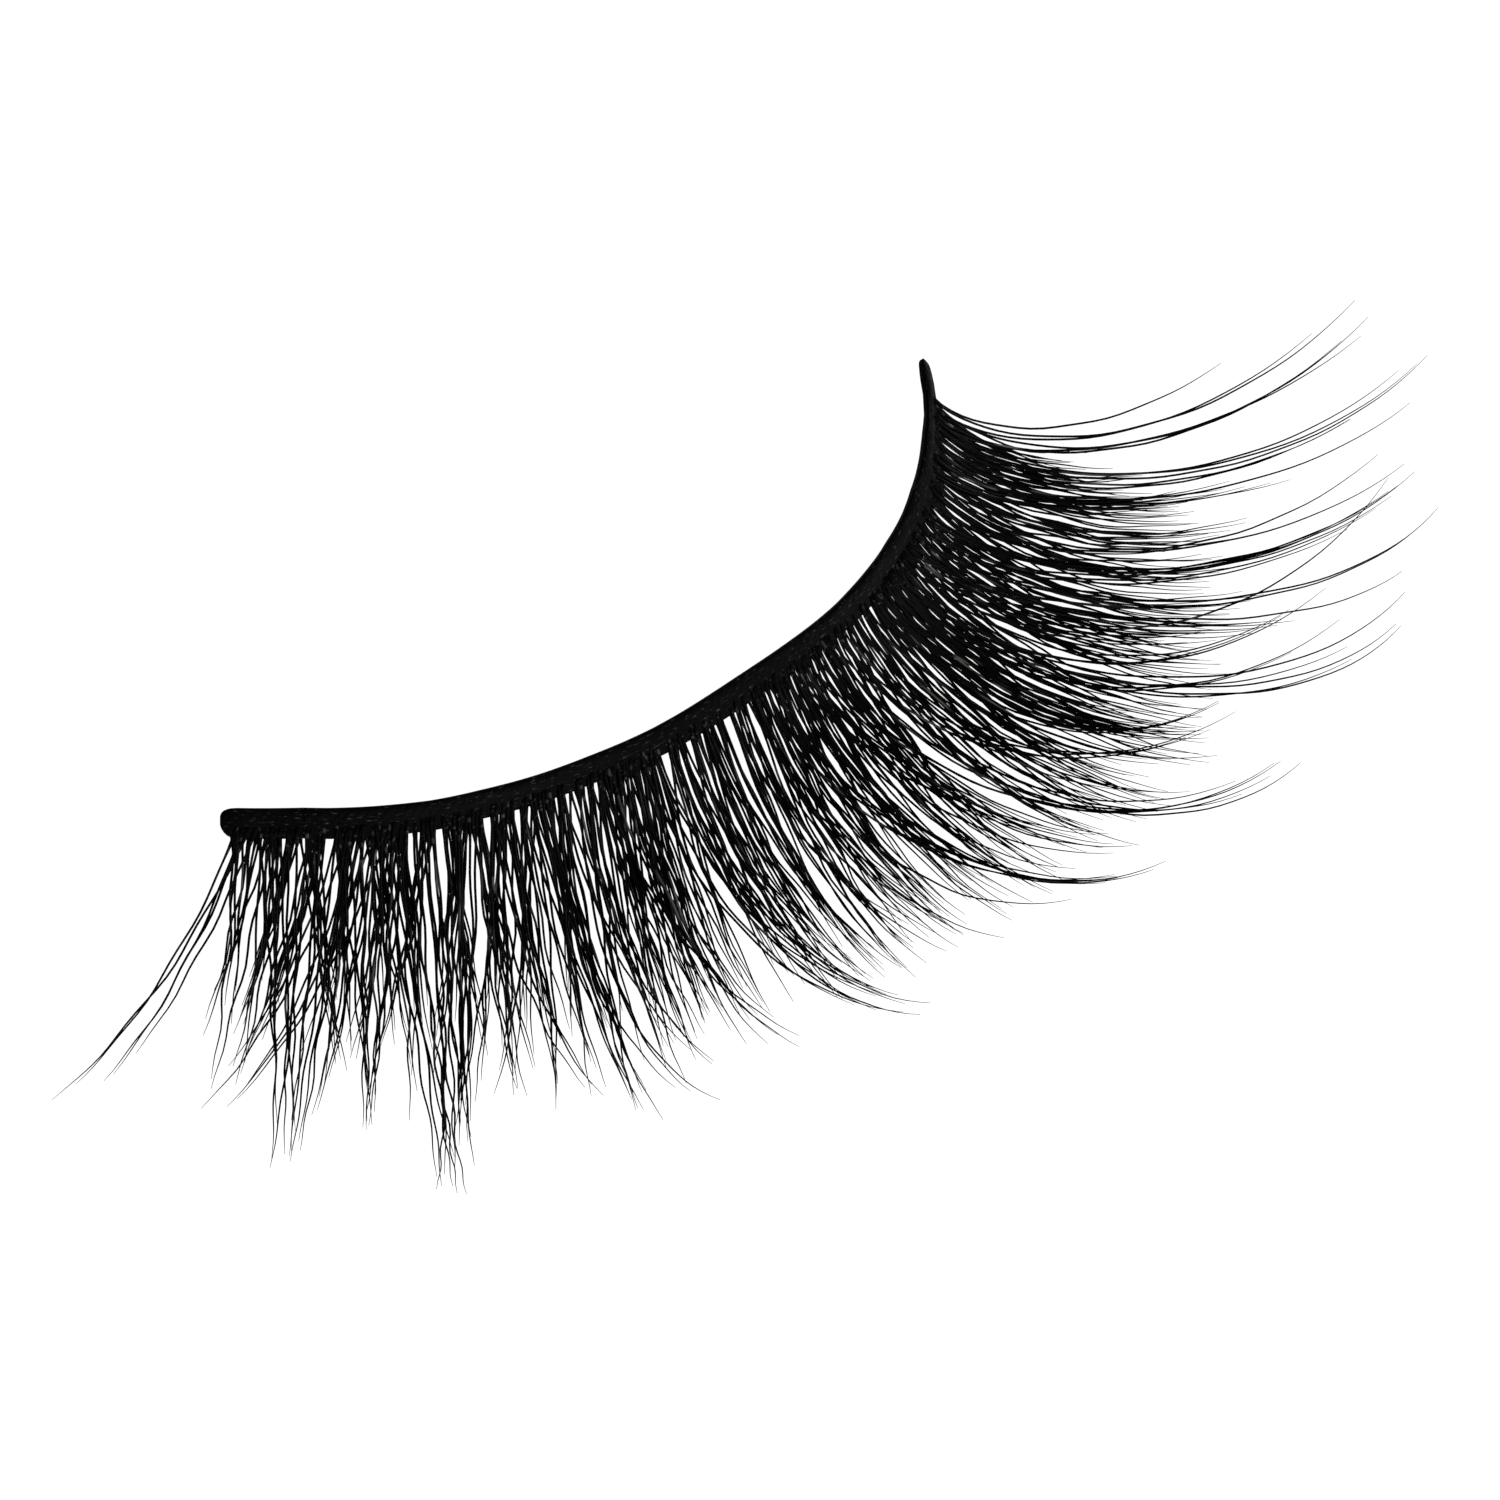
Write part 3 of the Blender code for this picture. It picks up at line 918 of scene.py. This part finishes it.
# The long row. Longer tufts of the same fibre lie in front of the short row. Each
# starts wide on the band and draws to a wispy spike, and the spikes grow longer and
# sweep further round towards the outer end.
LONG_DIP_DEG = -47.0
LONG_DEPTH_MM = 0.07
LONG_SEED = 11
LONG_SHORTEST_SHARE = 0.8
LONG_STRAY_MM = 0.12
LONG_STRAY_PER_SPREAD = 0.08
LONG_LOOSE_DEG = 0.7
LONG_LOOSE_PER_SPREAD = 0.4
LONG_LIFT_MM = 0.4
LONG_DRAW_POWER = 1.15
LONG_WEAVE = (
    # arc_mm, weave_mm
    (0.0, 0.09),
    (16.0, 0.08),
    (24.0, 0.05),
    (31.0, 0.03),
)
LONG_TUFTS = (
    # arc_mm, spread_mm, lean_deg, sweep_deg, length_mm, fibres
    (0.5, 0.3, -34.0, 2.0, 11.2, 2),
    (0.7, 0.4, -30.0, 2.0, 9.8, 3),
    (1.0, 0.7, -10.0, 0.0, 8.9, 2),
    (2.0, 0.9, -12.0, 0.0, 8.9, 4),
    (2.7, 1.6, -6.0, 3.0, 12.8, 11),
    (3.6, 0.6, -24.0, -10.0, 10.6, 2),
    (4.6, 0.8, -29.0, -6.0, 10.9, 3),
    (4.4, 0.8, -13.0, 0.0, 10.0, 5),
    (4.2, 0.8, -2.0, 0.0, 10.8, 4),
    (5.2, 0.9, -10.0, 0.0, 10.8, 6),
    (5.8, 0.8, -7.0, 0.0, 10.4, 3),
    (5.8, 1.1, 1.5, -9.0, 15.7, 5),
    (6.2, 1.1, -3.5, 1.0, 15.8, 4),
    (6.9, 0.6, -5.0, -6.0, 12.0, 3),
    (7.3, 0.8, -13.0, 5.0, 13.9, 3),
    (8.1, 0.9, -16.0, -4.0, 11.4, 7),
    (8.5, 0.7, -12.0, 0.0, 10.0, 4),
    (8.8, 0.8, -10.0, 20.0, 11.1, 3),
    (8.9, 0.9, -22.0, 17.0, 10.2, 2),
    (9.3, 0.9, -5.0, -12.0, 11.2, 4),
    (9.5, 0.8, -18.0, -16.0, 10.4, 2),
    (10.2, 0.8, -11.5, 0.0, 10.9, 5),
    (10.3, 0.9, -5.0, -1.0, 13.2, 6),
    (11.2, 1.0, -14.0, 0.0, 12.6, 3),
    (11.6, 0.9, -25.0, 37.0, 13.8, 3),
    (11.7, 0.8, -16.0, 26.0, 11.2, 4),
    (12.5, 1.0, -17.0, 2.0, 11.8, 5),
    (12.9, 0.9, -10.0, 12.0, 11.3, 2),
    (13.1, 0.9, -19.0, 5.0, 11.0, 6),
    (13.1, 0.9, -10.5, 22.5, 12.3, 5),
    (14.1, 0.9, -20.0, 10.0, 11.3, 3),
    (14.6, 0.9, -12.0, 33.5, 14.2, 5),
    (14.9, 0.8, -10.5, 31.0, 13.9, 5),
    (15.2, 0.8, -12.0, 30.0, 12.8, 3),
    (15.7, 0.8, -10.0, 18.5, 10.7, 4),
    (16.2, 0.8, -12.0, 12.0, 10.8, 3),
    (16.9, 0.9, -13.0, 14.0, 11.0, 5),
    (17.9, 0.8, -13.0, 25.0, 11.5, 3),
    (18.6, 0.8, -14.0, 33.0, 12.7, 2),
    (18.8, 0.8, -8.0, 14.0, 11.3, 3),
    (19.0, 0.3, -14.5, 50.0, 14.0, 1),
    (19.3, 1.0, 1.0, 36.0, 16.6, 6),
    (19.8, 1.0, 0.0, 28.0, 14.2, 3),
    (20.4, 0.9, 4.0, 24.0, 13.6, 2),
    (20.6, 1.0, 11.0, 10.5, 12.6, 9),
    (21.3, 0.9, 14.0, 15.0, 19.6, 3),
    (21.5, 0.8, 8.0, 32.0, 18.2, 3),
    (22.1, 0.8, 10.0, 42.0, 14.6, 4),
    (23.0, 0.8, 2.0, 16.0, 13.4, 3),
    (23.8, 0.8, 4.0, 14.0, 13.4, 5),
    (24.4, 0.8, 5.0, 14.0, 12.5, 12),
    (24.7, 0.5, 19.5, -6.0, 20.5, 2),
    (24.8, 0.5, 24.0, -13.0, 19.9, 1),
    (24.8, 0.6, 21.5, -1.0, 20.1, 2),
    (24.9, 0.6, 8.5, 32.0, 16.7, 2),
    (24.9, 0.8, 6.0, 8.0, 10.8, 6),
    (25.1, 0.7, -27.0, 73.0, 13.1, 4),
    (25.5, 0.5, 6.5, 39.5, 15.7, 3),
    (26.0, 0.3, 36.5, -38.0, 19.1, 1),
    (26.0, 0.6, 33.0, -26.0, 14.0, 4),
    (26.2, 0.3, 10.5, 42.0, 18.7, 1),
    (26.2, 0.7, 12.0, 10.0, 11.2, 6),
    (26.5, 0.5, 30.5, -24.0, 20.5, 2),
    (26.7, 0.7, 29.0, -20.0, 12.5, 2),
    (27.5, 0.5, 21.5, -5.5, 18.5, 4),
    (27.6, 0.5, 23.5, -7.0, 17.8, 3),
    (28.3, 0.5, 22.5, -11.0, 17.8, 1),
    (28.9, 0.6, 4.0, 14.0, 9.0, 1),
    (29.2, 0.5, 4.0, 19.0, 16.6, 1),
    (29.9, 0.4, 20.5, -17.0, 18.1, 1),
    (29.9, 0.6, 20.0, -16.0, 13.0, 6),
    (30.2, 0.7, 10.0, 0.0, 9.6, 3),
    (31.3, 0.5, 8.5, -2.5, 19.0, 4),
    (31.7, 0.3, 6.5, 0.0, 17.5, 1),
    (31.7, 0.4, 20.0, -9.0, 16.5, 1),
    (32.2, 0.4, 10.5, 10.5, 17.0, 2),
    (32.5, 0.3, 13.5, 9.5, 16.7, 2),
    (32.7, 0.2, 15.0, 12.0, 11.5, 1),
)


def long_fibres():
    """Fibres of the long row, one tuft for each line of the table."""
    chance = random.Random(LONG_SEED)
    fibres = []
    for arc_mm, spread_mm, lean_deg, sweep_deg, length_mm, count in LONG_TUFTS:
        tuft = {
            "arc_mm": arc_mm,
            "lean_deg": lean_deg,
            "sweep_deg": sweep_deg,
            "length_mm": length_mm,
            "fibres": count,
            "spread_mm": spread_mm,
            "shortest_share": LONG_SHORTEST_SHARE,
            "dip_deg": LONG_DIP_DEG,
            "depth_mm": LONG_DEPTH_MM,
            "stray_mm": LONG_STRAY_MM + LONG_STRAY_PER_SPREAD * spread_mm,
            "loose_deg": LONG_LOOSE_DEG + LONG_LOOSE_PER_SPREAD * spread_mm,
            "weave_mm": look_up(LONG_WEAVE, arc_mm),
            "lift_mm": LONG_LIFT_MM,
            "draw_power": LONG_DRAW_POWER,
        }
        fibres += grow_tuft(chance, tuft)
    return fibres


LONG_FIBRES = long_fibres()
make_row("long_row", LONG_FIBRES, "long_lashes")


# The root coat. Where the fibres leave the band the black latex creeps a little way
# down each of them and holds it, which gives the band its saw-toothed lash side.
COAT_RADIUS = (
    # arc_mm, radius_mm
    (0.0, 0.080),
    (9.0, 0.074),
    (16.0, 0.060),
    (33.0, 0.056),
)
COAT_STOPS = (4, 5, 6)
COAT_SEED = 23


def make_root_coat():
    """A short tube of latex on each root, thick at the band and thin at its end."""
    chance = random.Random(COAT_SEED)
    routes = []
    for arc_mm, points, _ in SHORT_FIBRES + LONG_FIBRES:
        route = points[:chance.choice(COAT_STOPS)]
        thick_mm = look_up(COAT_RADIUS, arc_mm)
        thinner_mm = (thick_mm - FIBRE_ROOT_RADIUS_MM) / (len(route) - 2)
        radii = [thick_mm] + [thick_mm - thinner_mm * stop for stop in range(len(route) - 1)]
        routes.append((route, radii))
    coat = tubes("root_coat", routes, LATEX_MATERIAL)
    for axis, name in enumerate(("along_mm", "across_mm")):
        layer = coat.data.attributes.new(name, "FLOAT", "POINT")
        layer.data.foreach_set("value", [v.co[axis] / MM for v in coat.data.vertices])
    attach(coat, "root")
    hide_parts("short_lashes", "long_lashes")


make_root_coat()
